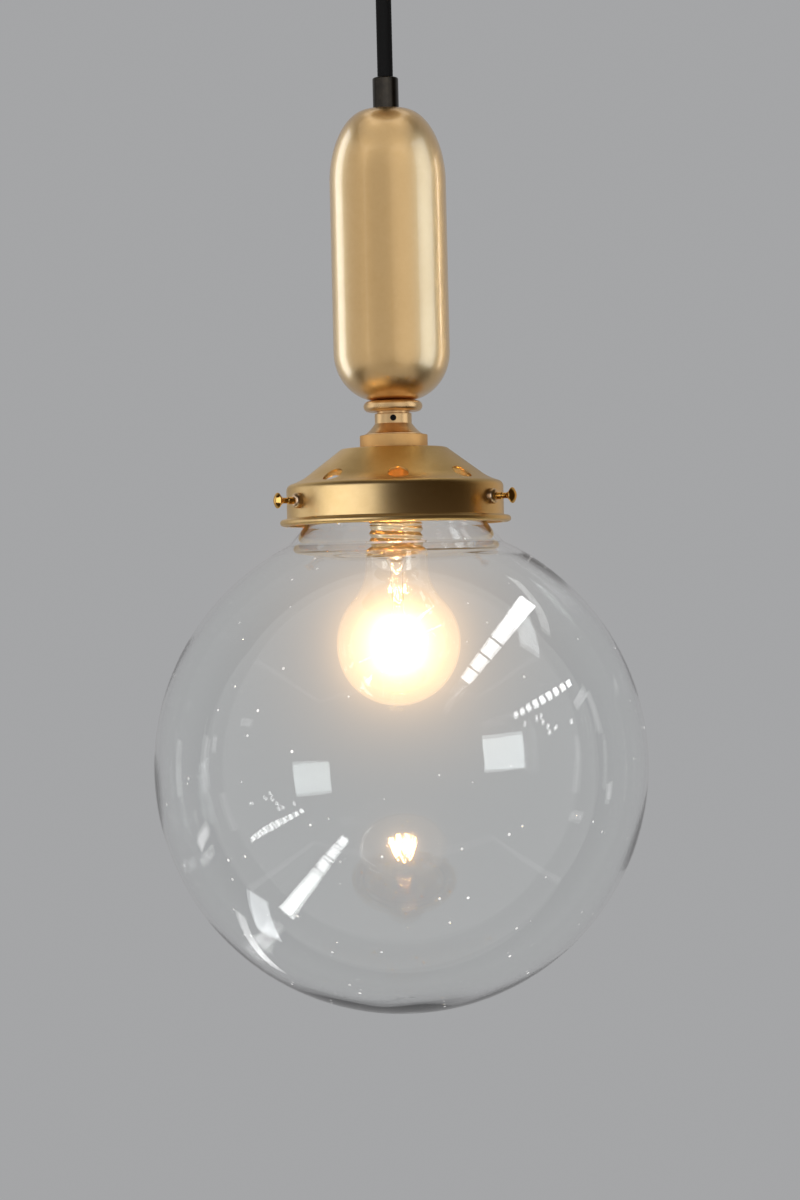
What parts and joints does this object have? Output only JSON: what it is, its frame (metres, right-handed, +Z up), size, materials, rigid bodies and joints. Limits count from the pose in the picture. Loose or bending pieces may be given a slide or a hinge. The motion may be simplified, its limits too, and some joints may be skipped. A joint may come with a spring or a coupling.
{
  "type": "pendant ceiling light",
  "caption": "Pendant ceiling light: ceiling rose, textile cord, brass capsule, vented gallery with thumbscrews, clear glass globe and a screw-in filament lamp.",
  "frame": {"origin": "middle of the fixing bracket's top face, on the ceiling plane", "axes": "+Z up into the ceiling, -Y to the front, +X to the right seen from the front"},
  "size_m": [0.24, 0.24, 0.575],
  "materials": {
    "bracket_steel": "zinc-plated",
    "capsule_brass": "satin lacquered, pale champagne",
    "gallery_brass": "satin antique",
    "fitting_brass": "satin, warm",
    "screw_brass": "polished",
    "bronze_black": "black bronze, satin",
    "steel": "nickel-plated",
    "textile": "black braided textile",
    "nylon": "natural",
    "white_plastic": "moulded",
    "porcelain": "glazed",
    "core_brown": "insulation",
    "core_blue": "insulation",
    "core_green_yellow": "insulation, striped",
    "globe_glass": "clear, blown",
    "lamp_glass": "clear, thin",
    "stem_glass": "clear",
    "cap_metal": "stamped",
    "black_glass": "vitrified",
    "solder": "dull",
    "wire_metal": "bright wire",
    "filament": "glowing"
  },
  "bodies": {
    "ceiling_fitting": {"ceiling_bracket": "bracket_steel", "ceiling_rose": "capsule_brass", "rose_screws": "screw_brass", "terminal_block": "white_plastic", "terminal_screws": "steel", "earth_screw": "screw_brass", "rose_nipple": "steel", "rose_nut": "steel", "rose_grip": "bronze_black", "rose_bush": "nylon", "rose_grip_screw": "bronze_black", "feed_live": "core_brown", "feed_neutral": "core_blue", "feed_earth": "core_green_yellow"},
    "cord": {"flex_cord": "textile"},
    "pendant": {"cord_grip": "bronze_black", "cord_bush": "nylon", "cord_grip_screw": "bronze_black", "capsule_shell": "capsule_brass", "threaded_tube": "steel", "collar_ring": "fitting_brass", "holder_cap": "fitting_brass", "grub_screw": "bronze_black", "holder_skirt": "fitting_brass", "lock_washer": "steel", "tube_nut": "steel", "shade_ring": "gallery_brass", "contact_block": "porcelain", "block_screws": "steel", "holder_terminals": "screw_brass", "holder_screws": "steel", "earth_terminal": "screw_brass", "centre_contact": "fitting_brass", "screw_shell": "cap_metal", "core_live": "core_brown", "core_neutral": "core_blue", "core_earth": "core_green_yellow", "gallery": "gallery_brass", "screw_bosses": "screw_brass"},
    "thumbscrew_1": {"thumbscrew_1": "screw_brass"},
    "thumbscrew_2": {"thumbscrew_2": "screw_brass"},
    "thumbscrew_3": {"thumbscrew_3": "screw_brass"},
    "globe": {"globe": "globe_glass"},
    "lamp": {"lamp_glass": "lamp_glass", "lamp_cap": "cap_metal", "cap_insulator": "black_glass", "cap_contact": "solder", "lamp_stem": "stem_glass", "lead_wires": "wire_metal", "filament": "filament", "filament_supports": "wire_metal"}
  },
  "joints": [
    {"name": "swing_sideways", "type": "hinge", "parent": "ceiling_fitting", "child": "cord", "pos_m": [0, 0, -0.0453], "axis": [0, 1, 0], "range_deg": [-12, 12]},
    {"name": "swing_fore_aft", "type": "hinge", "parent": "cord", "child": "pendant", "pos_m": [0, 0, -0.0453], "axis": [1, 0, 0], "range_deg": [-12, 12], "deforming": ["flex_cord"]},
    {"name": "thumbscrew_1_out", "type": "slide", "parent": "pendant", "child": "thumbscrew_1", "axis": [0.866, -0.5, 0], "range_m": [0, 0.006]},
    {"name": "thumbscrew_2_out", "type": "slide", "parent": "pendant", "child": "thumbscrew_2", "axis": [-0.866, -0.5, 0], "range_m": [0, 0.006]},
    {"name": "thumbscrew_3_out", "type": "slide", "parent": "pendant", "child": "thumbscrew_3", "axis": [0, 1, 0], "range_m": [0, 0.006]},
    {"name": "globe_turn", "type": "hinge", "parent": "pendant", "child": "globe", "pos_m": [0, 0, -0.455], "axis": [0, 0, 1], "continuous": true},
    {"name": "lamp_unscrew", "type": "slide", "parent": "pendant", "child": "lamp", "axis": [0, 0, -1], "range_m": [0, 0.028]}
  ]
}
